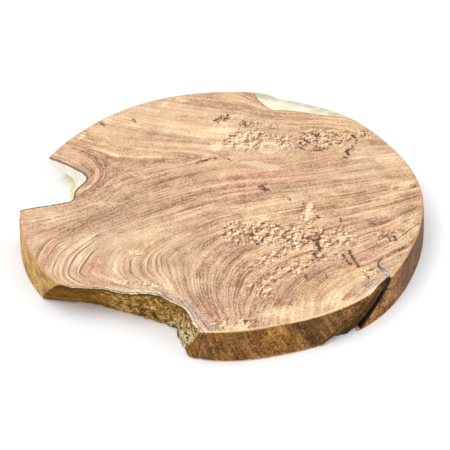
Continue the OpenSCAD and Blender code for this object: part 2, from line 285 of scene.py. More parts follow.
# The lighter parts of the top: x, y, half length, half width, turn, strength. The tables of
# parts from here to the burl all have this form.
LIGHT = [
    (-42, 112, 78, 36, -20, 1), (70, 120, 60, 13, -12, 0.7), (122, 60, 40, 20, 0, 0.9),
    (24, 62, 60, 14, 0, 0.4), (-76, -42, 46, 15, 28, 1), (-50, -60, 28, 16, 0, 0.6),
    (60, -130, 42, 12, 20, 0.7), (-136, -6, 16, 12, 0, 0.5), (-30, -110, 14, 34, 25, 0.4),
    (96, 34, 40, 10, 4, 0.5), (40, -2, 30, 8, 14, 0.3), (112, -92, 10, 22, -40, 0.3),
    (-12, 52, 54, 13, 6, 0.7), (12, 142, 20, 9, -40, 0.9), (-28, -42, 16, 11, 30, 0.8),
    (-22, -100, 8, 14, 0, 0.6), (84, -102, 26, 12, 42, 0.5), (-62, -90, 10, 8, 0, 0.5),
    (46, 46, 40, 8, 0, 0.4), (-80, -66, 16, 14, 80, 0.95), (-40, -82, 14, 14, 90, 0.7),
    (48, -102, 14, 8, 40, 0.4), (70, 60, 26, 8, 0, 0.7), (104, 100, 12, 8, -20, 0.7),
    (-84, 102, 24, 12, -25, 1), (-20, 80, 14, 8, 0, 0.9), (2, 0, 14, 6, 20, 0.5),
    (118, -12, 10, 6, 0, 0.4),
]
# The darker parts
DULL = [
    (-72, 40, 24, 8, 15, 0.95), (-42, 60, 18, 6, 5, 0.5), (-22, 2, 15, 11, 20, 0.8),
    (-40, -20, 12, 8, 20, 0.45), (142, -18, 8, 16, 0, 0.9), (118, -42, 20, 13, 20, 0.75),
    (122, -62, 10, 10, 40, 0.6), (80, -28, 14, 12, 0, 0.4), (20, -143, 13, 7, 0, 1),
    (-12, -122, 14, 10, 110, 0.4), (8, -56, 24, 12, 50, 0.35), (30, 103, 42, 8, -10, 0.4),
    (-20, 118, 14, 9, -20, 0.5), (146, 20, 8, 12, 0, 0.4), (0, 20, 16, 6, 10, 0.4),
    (40, 42, 16, 6, 0, 0.6), (84, -112, 14, 7, 40, 0.4), (60, -4, 14, 7, 10, 0.5),
    (-96, 42, 12, 14, 95, 0.8), (-12, -82, 10, 10, 60, 0.4), (40, 80, 24, 8, 0, 0.3),
]
# Where the wood is warmer, and where it is greyer
WARM = [
    (-72, 78, 34, 18, -25, 1), (-60, 60, 34, 8, 5, 0.9), (0, 142, 30, 8, -10, 0.5),
    (80, 100, 30, 10, -15, 0.9), (64, 60, 20, 8, 0, 0.6), (12, 10, 60, 22, 10, 0.55),
    (90, -8, 50, 14, 10, 0.6), (62, -64, 28, 16, 60, 0.9), (74, -100, 34, 16, 45, 1),
    (112, -30, 24, 14, 0, 0.5), (36, -130, 30, 10, 10, 0.4),
]
GREY = [
    (-84, -40, 44, 26, 30, 1), (-40, -58, 24, 24, 50, 0.9), (-92, -4, 38, 12, 18, 1),
    (-56, -88, 26, 10, -30, 0.9), (-12, -104, 28, 18, 110, 1), (-8, -134, 24, 10, 120, 1),
    (104, 65, 9, 5, 0, 1),
]
# Where the figure has narrow dark stripes
STRIPED = [
    (-46, -68, 22, 16, 80, 1), (-20, -36, 20, 15, 45, 0.9), (15, -95, 34, 24, 60, 1),
    (-20, -102, 32, 12, 108, 0.9), (58, -90, 40, 18, 40, 0.8), (-128, -60, 24, 9, 75, 0.8),
    (-62, -86, 20, 10, -30, 0.7), (-94, 46, 22, 10, 95, 0.9), (60, 112, 50, 8, -10, 0.7),
    (22, 138, 16, 10, -55, 0.6), (76, -8, 20, 6, 12, 0.6), (-98, 78, 20, 8, -25, 0.5),
    (92, -112, 22, 14, 60, 0.6), (-95, -66, 24, 14, 75, 0.4), (-30, 45, 40, 8, 10, 0.4),
    (-75, 4, 50, 8, 18, 0.25), (-60, 115, 50, 20, -25, 0.15), (90, 55, 50, 8, 4, 0.2),
]
# Stronger tints
PALE = [
    (0, 98, 11, 11, 0, 0.75), (-4, 76, 8, 6, 60, 0.9), (12, 84, 6, 4, 0, 0.8),
    (-30, 141, 10, 3, -15, 0.8), (-46, 130, 10, 2, 60, 0.7), (-74, 123, 8, 3, 40, 0.5),
    (-88, 115, 9, 3, 65, 0.6), (-106, 96, 8, 3, 55, 0.6), (-84, 69, 9, 2.5, -35, 0.8),
    (-95, 76, 15, 3, -25, 0.4), (-60, 100, 18, 9, -15, 0.3), (-35, 102, 20, 10, -20, 0.45),
    (-22, 92, 26, 6, -14, 0.4), (38, 76, 9, 9, 0, 0.6), (52, 72, 8, 5, 60, 0.4),
    (80, 81, 6, 4, 0, 0.6), (126, 56, 18, 6, 6, 0.5), (86, 50, 16, 4, 5, 0.3),
    (139, 22, 8, 4, 30, 0.8), (128, -44, 9, 5, 35, 0.6), (140, -24, 14, 4, 62, 0.6),
    (122, -17, 8, 6, -20, 0.4), (64, -10, 12, 3, 80, 0.8), (88, -45, 3, 5, 0, 0.6),
    (30, -16, 14, 4, 12, 0.5), (42, -130, 9, 9, 0, 0.8), (60, -121, 12, 9, 35, 0.5),
    (78, -115, 12, 7, 50, 0.7), (87, -119, 13, 4, 38, 0.8), (97, -106, 9, 6, 45, 0.5),
    (30, -132, 6, 5, 0, 0.5), (100, -86, 10, 7, 40, 0.4), (84, -86, 9, 7, 35, 0.4),
    (8, -145, 13, 3, 0, 0.6), (-39, -94, 14, 6, 100, 0.6), (-79, -74, 10, 3, 82, 0.65),
    (-80, -88, 7, 3, -35, 0.8), (-89, -83, 4, 3, 0, 0.5), (-66, -55, 5, 4, 0, 0.9),
    (-66, -62, 3, 4, 0, 0.6), (-52, -95, 3, 4, 0, 0.8), (-73, -37, 20, 5, 38, 0.45),
    (-55, -34, 22, 6, 30, 0.45), (-102, -42, 14, 4, 48, 0.4), (-128, -9, 14, 6, 8, 0.4),
    (-105, -66, 9, 2.5, 84, 0.5), (-118, -46, 5, 4, 0, 0.4), (30, -46, 7, 6, 0, 0.5),
    (-12, 22, 24, 3, 14, 0.2), (20, -4, 24, 4, 14, 0.3), (110, -2, 16, 4, 18, 0.3),
    (24, 128, 12, 3, -52, 0.3), (88, 104, 18, 3, -12, 0.3), (100, 94, 8, 4, -20, 0.4),
    (150, 40, 8, 16, 0, 0.3), (118, -84, 8, 4, 50, 0.4), (-20, -100, 4, 12, 10, 0.2),
    (58, 64, 12, 3, 10, 0.3), (-58, 62, 24, 4, 6, 0.25), (102, 58, 14, 4, 8, 0.35),
]
BROWN = [
    (-84, -12, 48, 12, 18, 0.85), (-40, 6, 44, 10, 18, 0.6), (-118, -24, 30, 9, 12, 0.7),
    (-110, -30, 26, 5, 18, 0.45), (-60, 30, 25, 4, 16, 0.35), (-55, 33, 6, 5, 0, 0.4),
    (0, 13, 16, 2.5, 15, 0.5), (-45, -6, 14, 4, 25, 0.45), (-13, -47, 12, 9, 40, 0.6),
    (-29, -72, 14, 4, 95, 0.7),
    (-6, -98, 8, 5, 0, 0.6), (75, 39, 60, 5, 3, 0.35), (60, 22, 40, 4, 4, 0.3),
    (14, 70, 15, 4, -6, 0.4), (24, 104, 10, 11, 0, 0.45), (36, 98, 12, 6, 0, 0.35),
    (52, 95, 12, 4, -12, 0.5), (120, 77, 13, 4, -6, 0.95), (110, 78, 6, 4, 0, 0.6),
    (124, 68, 10, 2, 2, 0.6), (97, 66, 5, 3, 60, 0.5), (76, -7, 14, 3, 12, 0.45),
    (104, 6, 14, 2.5, 24, 0.55), (132, 15, 13, 2.5, 6, 0.5), (132, 0, 12, 4, 22, 0.4),
    (76, -86, 6, 8, 45, 0.4), (28, -88, 14, 3, 42, 0.5), (48, -95, 14, 3, 44, 0.45),
    (36, -114, 11, 2.5, 70, 0.9), (26, -119, 13, 2, 56, 0.8), (46, -102, 12, 2, 48, 0.5),
    (-75, 47, 8, 2, 15, 0.9), (-58, 52, 14, 1.8, 15, 0.7), (-42, 57, 14, 1.8, 12, 0.7),
    (-22, 61, 18, 1.6, 4, 0.6), (-66, 54, 12, 2.5, 22, 0.3), (48, 53, 12, 2, -28, 0.5),
    (66, 48, 12, 1.6, 0, 0.7), (-69, 113, 6, 1.5, -25, 0.7), (-62, 102, 5, 1.5, -20, 0.5),
    (-92, 109, 3, 2, -45, 0.6), (27, 141, 14, 2, -55, 0.9), (58, 121, 22, 2, -8, 0.9),
    (90, 114, 16, 2, -12, 0.9), (-10, 132, 26, 2, -18, 0.3), (112, -26, 6, 4, 0, 0.6),
    (122, -38, 6, 4, -30, 0.5), (66, -52, 5, 10, 10, 0.3), (58, -46, 6, 4, 0, 0.3),
    (14, -38, 6, 9, 0, 0.35), (-104, 84, 14, 3, -26, 0.4), (130, -54, 10, 3, 45, 0.5),
]
PINK = [
    (-92, -68, 14, 8, 82, 0.8), (-70, -84, 12, 6, -48, 0.6), (-128, -56, 15, 6, 72, 0.8),
    (-110, -66, 12, 3, 76, 0.5), (-130, -30, 14, 5, 14, 0.6), (-64, -72, 10, 4, 92, 0.4),
    (-10, -122, 16, 8, 108, 0.6), (4, -112, 14, 12, 80, 0.5), (50, -65, 26, 7, 36, 0.45),
    (44, -86, 26, 6, 40, 0.6), (28, -70, 13, 9, 45, 0.4), (94, -38, 20, 9, 20, 0.4),
    (110, -66, 14, 7, 34, 0.5), (70, -76, 8, 7, 0, 0.4), (100, 34, 30, 5, 6, 0.4),
    (56, 33, 40, 9, 2, 0.7), (10, 22, 34, 9, 6, 0.6), (-80, -22, 30, 4, 20, 0.6),
    (-36, 20, 30, 6, 17, 0.6), (-44, 0, 30, 4, 21, 0.3), (-92, 42, 16, 5, 95, 0.7),
    (-112, 68, 16, 5, -36, 0.7), (-128, 76, 6, 5, 0, 0.6), (-84, 50, 7, 9, 0, 0.4),
    (-104, 14, 12, 5, 40, 0.3), (75, -30, 14, 8, 10, 0.4), (-52, 90, 20, 4, -18, 0.3),
    (-16, 128, 18, 6, -18, 0.4), (30, 62, 26, 4, -12, 0.4), (80, 60, 24, 4, 2, 0.35),
    (10, -134, 20, 6, 6, 0.4), (-2, -68, 18, 8, 64, 0.35), (-120, -84, 12, 4, -50, 0.4),
    (6, 30, 30, 5, 5, 0.35),
]
# Burl, where the wood is full of pale and dark flecks
BURL = [
    (18, -34, 20, 14, 10, 1), (44, -38, 18, 15, 10, 1), (68, -46, 12, 20, 10, 1),
    (40, -62, 32, 7, 34, 0.8), (34, -88, 34, 8, 42, 0.7), (60, -76, 26, 6, 36, 0.75),
    (88, -42, 12, 18, 0, 0.7), (64, -14, 7, 14, -10, 0.9), (8, -26, 8, 8, 0, 0.8),
    (22, 84, 24, 17, 0, 0.7), (46, 80, 12, 16, 0, 0.55), (122, -42, 9, 9, 0, 0.8),
    (8, -140, 24, 7, 0, 0.6), (28, -104, 10, 9, 0, 0.7), (78, 84, 26, 15, 0, 0.65),
    (30, 106, 20, 8, -10, 0.45), (-66, -92, 26, 5, -10, 0.5), (106, -86, 9, 8, 0, 0.6),
    (112, 88, 10, 8, 0, 0.6),
    (8, 112, 16, 10, 0, 0.4), (84, -66, 10, 14, 10, 0.4), (-64, -58, 6, 7, 0, 0.5),
    (130, 18, 12, 5, 0, 0.5), (-56, 32, 8, 5, 0, 0.4), (-78, 120, 18, 6, 35, 0.3),
]
# Knots, fissures and slits: half width, then the points of a line. The next tables of lines
# have this form too.
KNOTS = [
    (1.0, (-5, 111), (0, 115), (5, 114)), (0.7, (-2, 109), (1, 118)), (0.6, (6, 118), (3, 111)),
    (0.9, (15, 104), (18, 107)), (0.6, (18, 109), (19, 103)),
    (0.8, (-19, 55), (-16, 58)), (0.7, (-15, 57), (-11, 59)), (0.6, (-9, 61), (-4, 61)),
    (1.0, (29, 20), (33, 21)), (0.6, (31, 24), (32, 17)), (0.5, (28, 23), (35, 18)),
    (1.4, (102, 87), (103, 85)), (0.6, (104, 83), (104, 77)), (0.6, (99, 70), (96, 66)),
    (1.0, (96, 65), (97, 62)), (0.8, (93, 60), (96, 57)), (0.8, (101, 73), (101, 67)),
    (0.7, (61, 87), (65, 82), (70, 76), (75, 72)), (0.5, (75, 71), (82, 70)),
    (0.6, (60, 80), (63, 75)), (0.5, (61, 72), (68, 68), (78, 68)),
    (0.9, (71, 90), (75, 90), (73, 87)), (0.5, (62, 93), (67, 88)), (0.8, (83, 77), (85, 75)),
    (0.5, (86, 82), (93, 80), (99, 82)), (0.5, (85, 92), (92, 86)), (0.5, (78, 78), (82, 80)),
    (0.9, (8, 90), (12, 91)), (0.7, (29, 88), (28, 85)), (0.5, (2, 62), (8, 58)),
    (1.1, (64, -42), (67, -46), (70, -44)), (1.2, (69, -46), (69, -51), (71, -55)),
    (0.9, (71, -55), (70, -61)), (1.2, (66, -61), (69, -68)), (0.8, (72, -42), (70, -40)),
    (0.9, (56, -48), (59, -46)), (1.0, (62, -43), (64, -41)), (1.0, (45, -36), (48, -32)),
    (0.7, (44, -40), (46, -42)), (0.8, (47, -46), (49, -44)), (1.2, (40, -26), (42, -27)),
    (1.0, (22, -36), (21, -38)), (0.9, (23, -43), (25, -48)), (0.8, (28, -46), (30, -41)),
    (0.8, (33, -36), (32, -39)), (0.8, (11, -38), (12, -42)), (0.6, (16, -33), (17, -40)),
    (1.3, (70, -15), (71, -17)), (0.6, (88, -20), (88, -26)), (0.7, (77, -45), (78, -46)),
    (1.0, (91.5, -57), (94, -66), (98, -78)), (0.9, (87, -63), (89, -69), (92, -75)),
    (0.6, (101, -84), (105, -92)),
    (1.1, (110, -26), (113, -27)), (0.8, (121, -43), (123, -48)), (0.9, (125, -42), (127, -47)),
    (0.6, (117, -37), (119, -37)), (0.6, (128, -60), (133, -56)), (0.5, (74, -88), (75, -90)),
    (0.6, (-92, 110), (-90, 108)), (0.5, (142, 17), (146, 19)), (0.5, (50, 8), (51, 5)),
    (0.6, (60, 0), (62, 0)), (0.6, (-68, 115), (-66, 112)), (0.6, (60, -92), (59, -88)),
]
# How deep they are carved
KNOT_DEPTH = 0.7
# The row of pale slanted cells under the burl at the upper right. The cells are this far
# apart, and lean this much to the right for each millimetre of y.
LADDER = [(1.9, (17, 55), (24, 52)), (3.6, (24, 52), (41, 46))]
CELL_STEP, CELL_LEAN = 2.0, 0.49
# Purple-grey stain beside the scallop and at the left of the crack
STAIN = [
    (2.0, (-47, -106), (-37, -109), (-29, -116), (-22, -127), (-15, -140), (-8, -148)),
    (0.8, (101, -108), (106, -101), (112, -95)),
]
# Worn, whitish wood: on the scallop's edge, beside the crack, and by the hole at the upper right
WORN = [
    (1.6, (-84, -97), (-72, -100), (-58, -102.5), (-47, -105)),
    (1.2, (-31, -120), (-27, -130), (-22, -141), (-15, -148)),
    (1.8, (104, -109), (111, -101), (119, -91)),
    (1.4, (101, 66), (108, 64)),
]
# Where the arches at the lower left have plain outlines: ovals again
ARCHES = [
    (-130, -56, 22, 14, 72, 1), (-108, -68, 24, 16, 80, 1), (-80, -72, 20, 14, 84, 0.9),
    (-54, -70, 16, 12, 84, 0.9),
]
# A place that each outline runs through, its half width and its strength
PALE_ARCHES = [
    (-139, -54, 0.4, 0.4), (-134.5, -56, 0.4, 0.8), (-125, -66, 0.35, 0.6),
    (-119, -70, 0.35, 0.5), (-114, -74, 0.5, 1), (-105, -72, 0.5, 0.8), (-79, -70, 0.6, 0.2),
    (-67, -74, 0.4, 0.6), (-58, -71, 0.35, 0.7),
]
DARK_ARCHES = [
    (-136.4, -56, 0.6, 0.8), (-129.5, -60, 0.6, 0.9), (-123.2, -66, 0.6, 0.9),
    (-116.6, -70, 0.5, 0.5), (-112.8, -74, 0.6, 1), (-103.8, -72, 0.6, 1), (-96, -70, 0.5, 0.5),
    (-88, -70, 0.5, 0.4), (-74, -72, 0.5, 0.5), (-68.4, -74, 0.7, 1), (-62, -72, 0.5, 0.5),
    (-56.8, -71, 0.5, 0.8), (-50, -70, 0.5, 0.5), (-44, -70, 0.5, 0.5),
]
# The golden, orange and dark parts of the sawn rim: direction, half angle, strength
GOLDEN_WALL = [(-162, 30, 1.0), (150, 30, 0.6)]
ORANGE_WALL = [(-36, 16, 1), (-50, 12, 0.5), (-12, 20, 0.6), (100, 40, 0.4), (-97, 8, 0.5)]
DARK_WALL = [
    (-97, 4, 0.5), (-86, 5, 0.5), (-63, 7, 0.6), (-27, 6, 0.9), (-8, 14, 1), (40, 20, 0.5)
]
# The crack's mouth on the rim runs from the first direction at the top to the second at the
# bottom, and a strip of this width to its right is painted dark: painted shade with dark dirt
CRACK_TOP, CRACK_FOOT = -35.6, -51.2
DARK_BESIDE_CRACK = 1.8
BOARD_RADIUS = 151.5
# The inside of the crack, painted near black as shade: where it is on the rim, and how far in it
# starts
CRACK_STRETCH = [(-43, 18, 1)]
CRACK_START = (0.6, 1.8)
# The rings waver by these heights, over these sizes, from these seeds
WAVERS = [(0.7, 30, 1), (0.3, 9, 2)]
# How far the rings shift for each millimetre down
RING_LEAN = 0.35
# A surface is wall where the upright part of its normal falls past these, or where it is
# this far from both flat faces
WALL_NORMAL = (0.3, 0.62)
WALL_DEPTH = (1.2, 2.2)


def paint(mesh):
    """Stores the figure and the tints on a mesh's points, for its material to read."""
    points = places(mesh) / MM
    facing = np.abs(places(mesh, "normal")[:, 2])
    deep = THICK - points[:, 2]
    waver = sum(height * lumps(points, size, seed) for height, size, seed in WAVERS)
    field = field_at(points) + waver + RING_LEAN * deep
    steep = 1 - smoothstep(*WALL_NORMAL, facing)
    between_faces = smoothstep(*WALL_DEPTH, deep) * smoothstep(*WALL_DEPTH, points[:, 2])
    steep = np.maximum(steep, between_faces)
    radius = np.hypot(points[:, 0], points[:, 1])
    lip = CRACK_TOP + (CRACK_FOOT - CRACK_TOP) * deep / THICK
    past_lip = np.radians(np.degrees(np.arctan2(points[:, 1], points[:, 0])) - lip) * BOARD_RADIUS
    # Where the rim is painted as shade: inside the crack, and with dark dirt in a strip beside
    # its mouth
    inside = smoothstep(*CRACK_START, BOARD_RADIUS - radius) * toward(points, CRACK_STRETCH)
    beside = smoothstep(DARK_BESIDE_CRACK, 0, past_lip) * smoothstep(-1, 0, past_lip)
    stored = {
        "grain": (field, deep, steep),
        "tints": [ovals(points, table) for table in (PALE, BROWN, PINK)],
        "marks": (ovals(points, BURL), outside(points, KNOTS), outside(points, LADDER)),
        "wear": (outside(points, STAIN), outside(points, WORN), ovals(points, ARCHES)),
        "rim": [toward(points, table) for table in (GOLDEN_WALL, ORANGE_WALL, DARK_WALL)],
        "cleft": (inside, beside, past_lip),
        "zones": (ovals(points, LIGHT) - ovals(points, DULL), ovals(points, STRIPED), facing),
        "hue": (ovals(points, WARM), ovals(points, GREY), radius),
    }
    for name, values in stored.items():
        layer = mesh.attributes.new(name, "FLOAT_VECTOR", "POINT")
        layer.data.foreach_set("vector", np.stack(values, 1).astype(np.float32).ravel())


# Meshes

# The grain of the remeshed copies in millimetres
SLAB_VOXEL, LINING_VOXEL, FINE_VOXEL = 1.05, 0.5, 0.4
# How far a point of a wall goes towards its neighbours when it is evened out, and how often
EVEN_SHARE, EVEN_ROUNDS = 0.5, 6


def placed(name, data):
    """A new object in the scene."""
    thing = bpy.data.objects.new(name, data)
    bpy.context.scene.collection.objects.link(thing)
    return thing


def places(mesh, what="co"):
    """A mesh's points, or their normals."""
    held = np.empty(len(mesh.vertices) * 3)
    mesh.vertices.foreach_get(what, held)
    return held.reshape(-1, 3)


def set_places(mesh, held):
    """Moves a mesh's points, and keeps them between the board's two flat faces."""
    held[:, 2] = np.clip(held[:, 2], 0, THICK * MM)
    mesh.vertices.foreach_set("co", held.ravel())
    mesh.update()


def even(mesh, weights, rounds):
    """Evens out the points by their neighbours, each as much as its weight."""
    edges = np.empty(len(mesh.edges) * 2, np.int64)
    mesh.edges.foreach_get("vertices", edges)
    a, b = edges.reshape(-1, 2).T
    count = np.bincount(edges, minlength=len(mesh.vertices))
    held = places(mesh)
    for _ in range(rounds):
        total = np.stack(
            [
                np.bincount(a, held[b, k], len(count)) + np.bincount(b, held[a, k], len(count))
                for k in range(3)
            ],
            1,
        )
        held += weights[:, None] * (total / count[:, None] - held)
    set_places(mesh, held)


def dense(node, voxel):
    """A finely meshed copy of a CAD node, with the facets of its walls evened out."""
    copy = placed(node + "_wood", nodes[node].data.copy())
    remesh = copy.modifiers.new("remesh", "REMESH")
    remesh.mode = "VOXEL"
    remesh.voxel_size = voxel * MM
    mesh = bpy.data.meshes.new_from_object(
        copy.evaluated_get(bpy.context.evaluated_depsgraph_get())
    )
    copy.modifiers.clear()
    copy.data = mesh
    steep = 1 - np.abs(places(mesh, "normal")[:, 2])
    even(mesh, EVEN_SHARE * smoothstep(0.25, 0.7, steep), EVEN_ROUNDS)
    mesh.shade_smooth()
    copy.data.materials.clear()
    return copy


slab_surface = BVHTree.FromPolygons(
    [v.co for v in nodes["heartwood_slab"].data.vertices],
    [p.vertices for p in nodes["heartwood_slab"].data.polygons],
)


def open_side(points, full=1.0):
    """1 where a lining is clear of the slab that it lines, and 0 where it touches it."""
    gaps = np.array([slab_surface.find_nearest(p)[3] for p in points]) / MM
    return smoothstep(0.25, full, gaps)


# The functions below give how deep each point of a mesh is carved, in millimetres


def slab_depth(mesh):
    """Knots in the top, and the unevenness of a hand-sawn rim."""
    points, normals = places(mesh) / MM, places(mesh, "normal")
    up = smoothstep(0.8, 0.97, normals[:, 2])
    side = 1 - smoothstep(0.2, 0.6, np.abs(normals[:, 2]))
    knots = smoothstep(0.9, -0.6, outside(points, KNOTS))
    worn = 0.12 * lumps(points * (1, 1, 0.25), 3.5, 11) + 0.2 * lumps(points, 14, 12) + 0.1
    return up * KNOT_DEPTH * knots + side * np.maximum(worn, 0)


# The foot of the scallop is evened out up to this height, and this often
SCALLOP_FOOT = 9
SCALLOP_ROUNDS = 30


def scallop_depth(mesh):
    """Grooves along the left end, and pits and lumps on the rest, less so at the evened foot."""
    start = places(mesh)
    open_wall = open_side(start)
    at_foot = smoothstep(SCALLOP_FOOT, SCALLOP_FOOT / 3, start[:, 2] / MM)
    even(mesh, EVEN_SHARE * open_wall * at_foot, SCALLOP_ROUNDS)
    points = places(mesh) / MM
    gnarled = smoothstep(-96, -66, points[:, 0] + 8 * lumps(points, 12, 20))
    rough = 0.45 * lumps(points * (1, 1, 0.6), 5.5, 21) + 0.35 * lumps(points, 2.6, 22)
    pits = smoothstep(0.3, 0.75, lumps(points * (1, 1, 0.6), 3.4, 24))
    grooves = 0.35 * lumps(points * (0.12, 0.12, 1), 2.2, 25)
    depth = 0.4 + gnarled * (rough + pits) + (1 - gnarled) * grooves
    foot = 0.2 + 0.8 * smoothstep(0, SCALLOP_FOOT, points[:, 2])
    return open_wall * foot * np.maximum(depth, 0) * 0.75


def notch_depth(mesh):
    """Low, soft bumps."""
    points = places(mesh) / MM
    rough = 0.2 * lumps(points, 5, 31) + 0.1 * lumps(points, 2, 32)
    return open_side(places(mesh)) * np.maximum(0.15 + rough, 0)


def back_depth(mesh):
    """Bumps on the wall alone."""
    points, normals = places(mesh) / MM, places(mesh, "normal")
    side = 1 - smoothstep(0.2, 0.7, np.abs(normals[:, 2]))
    rough = 0.3 + 0.4 * lumps(points, 4, 41) + 0.2 * lumps(points, 1.8, 42)
    return side * open_side(places(mesh)) * np.maximum(rough, 0)


# The way across the strands of bark, which run down and to the left along the crack
STRAND_ACROSS = (0.73, 0.68, -1.42)


def bark_depth(mesh):
    """Strands along the crack."""
    points = places(mesh) / MM
    across = points @ np.array(STRAND_ACROSS)
    strand_places = np.stack([across, points[:, 2] * 0.25, 0 * across], 1)
    rough = 0.4 + 0.5 * lumps(strand_places, 2.4, 51) + 0.3 * lumps(points, 1.6, 52)
    return open_side(places(mesh), 0.8) * np.maximum(rough, 0) * 0.8


# Materials


def colour(red, green, blue):
    """A colour given as it shows on a screen, from 0 to 255."""
    linear = [
        c / 12.92 if c <= 0.04045 else ((c + 0.055) / 1.055) ** 2.4
        for c in (red / 255, green / 255, blue / 255)
    ]
    return (*linear, 1.0)


class Nodes:
    """A tree of nodes, written as calls that return nodes or sockets."""

    def __init__(self, tree):
        self.tree = tree

    def put(self, value, socket):
        if isinstance(value, bpy.types.NodeSocket):
            self.tree.links.new(value, socket)
        elif value is not None:
            socket.default_value = value

    def make(self, kind, inputs=(), **settings):
        node = self.tree.nodes.new(kind)
        for name, value in settings.items():
            setattr(node, name, value)
        for name, value in dict(inputs).items():
            self.put(value, node.inputs[name])
        return node

    def calc(self, operation, a, b=None, c=None):
        node = self.make("ShaderNodeMath", operation=operation)
        for value, socket in zip((a, b, c), node.inputs):
            self.put(value, socket)
        return node.outputs[0]


class Graph(Nodes):
    """A material with its shader, and its place on the object in millimetres."""

    def __init__(self, name, roughness, shine):
        self.material = bpy.data.materials.new(name)
        self.material.use_nodes = True
        super().__init__(self.material.node_tree)
        self.tree.nodes.clear()
        gloss = {"Roughness": roughness, "Specular IOR Level": shine}
        self.shader = self.make("ShaderNodeBsdfPrincipled", gloss)
        self.make("ShaderNodeOutputMaterial", {"Surface": self.shader.outputs[0]})
        read = self.make("ShaderNodeTexCoord").outputs["Object"]
        split = self.make("ShaderNodeSeparateXYZ", {0: read})
        self.place = [self.calc("MULTIPLY", v, 1 / MM) for v in split.outputs]

    def stored(self, name):
        """The three numbers stored on the points under a name."""
        read = self.make("ShaderNodeAttribute", attribute_name=name)
        return tuple(self.make("ShaderNodeSeparateXYZ", {0: read.outputs["Vector"]}).outputs)

    def plus(self, a, b, weight=None):
        """a plus b, or plus b times a weight."""
        if weight is None:
            return self.calc("ADD", a, b)
        return self.calc("MULTIPLY_ADD", b, weight, a)

    def swayed(self, value, noise, weight):
        """A value plus weighted noise, which is taken about its middle of 0.5."""
        return self.plus(value, self.plus(noise, -0.5), weight)

    def times(self, *values):
        product, *others = values
        for value in others:
            product = self.calc("MULTIPLY", product, value)
        return product

    def summed(self, *terms):
        """A weighted sum of sockets about their middle of 0.5, plus 0.5."""
        total = 0.5
        for value, weight in terms:
            total = self.swayed(total, value, weight)
        return total

    def noise(self, scales, detail=2.0, roughness=0.55, place=None):
        """Noise over a place, with its own count per millimetre along each of three sockets."""
        scaled = [self.calc("MULTIPLY", v, n) for v, n in zip(place or self.place, scales)]
        at = self.make("ShaderNodeCombineXYZ", dict(enumerate(scaled))).outputs[0]
        wanted = {"Vector": at, "Scale": 1.0, "Detail": detail, "Roughness": roughness}
        return self.make("ShaderNodeTexNoise", wanted, noise_dimensions="3D").outputs[0]

    def step(self, value, low, high, to_low=0.0, to_high=1.0):
        """A smooth step from to_low at low to to_high at high."""
        wanted = {0: value, 1: low, 2: high, 3: to_low, 4: to_high}
        return self.make(
            "ShaderNodeMapRange", wanted, interpolation_type="SMOOTHSTEP"
        ).outputs[0]

    def between(self, share, a, b):
        """A number between two others."""
        return self.plus(a, self.plus(b, a, -1), share)

    def mix(self, share, a, b, blend="MIX"):
        node = self.make("ShaderNodeMix", data_type="RGBA", blend_type=blend)
        for value, socket in zip((share, a, b), (node.inputs[0], node.inputs[6], node.inputs[7])):
            self.put(value, socket)
        return node.outputs[2]

    def ramp(self, value, *stops):
        """Colours along a value: each stop has its place and its red, green and blue."""
        node = self.make("ShaderNodeValToRGB", {0: value})
        elements = node.color_ramp.elements
        while len(elements) < len(stops):
            elements.new(0.5)
        for element, (place, *shade) in zip(elements, stops):
            element.position, element.color = place, colour(*shade)
        return node.outputs[0]

    def shades(self, value, dark, middle, light):
        """Three shades for low, middle and high noise."""
        return self.ramp(value, (0.3, *dark), (0.5, *middle), (0.72, *light))

    def finish(self, base, height, depth):
        """Wires the colour, and a bump of a depth in millimetres."""
        self.put(base, self.shader.inputs["Base Color"])
        bump = self.make("ShaderNodeBump", {"Height": height, "Distance": depth * MM})
        self.put(bump.outputs[0], self.shader.inputs["Normal"])
        return self.material


def along_grain(g, field, over, along, *detail):
    """Noise drawn out along the grain, by its counts per millimetre over and along it."""
    return g.noise((over, along, along), *detail, place=(field, *g.place[:2]))


def arch_outlines(g, field, table):
    """Closeness to the lines of grain that cross some places."""
    total = 0.0
    for x, y, half_width, strength in table:
        level = float(field_at(np.array([[x, y]]))[0])
        off = g.calc("ABSOLUTE", g.plus(field, -level))
        total = g.calc("MAXIMUM", g.step(off, half_width, 0.2 * half_width, 0, strength), total)
    return total


# The narrow stripes: radians for each millimetre over the grain, and how dark they are
STRIPE_TURN = 3.5
STRIPE_DEPTH = 0.3
# The figure's level, and how much the lighter parts raise it
LEVEL = -0.13
LIGHT_GAIN = 0.19
# How much of the fine contrast is lost in the lighter parts and between the arches' outlines
CALM = 0.42
ARCH_CALM = 0.5
# A burl's fleck is pale or dark by how its noise differs from the same noise this far off
# The dark flecks are painted shade on one side of each pale fleck, a painted emboss.
FLECK_SHIFT = (-1.1, 1.6)
# What the warmer and the greyer parts keep of red, green and blue light
WARM_TINT = (1.0, 0.965, 0.9, 1.0)
GREY_TINT = (0.935, 0.975, 1.0, 1.0)


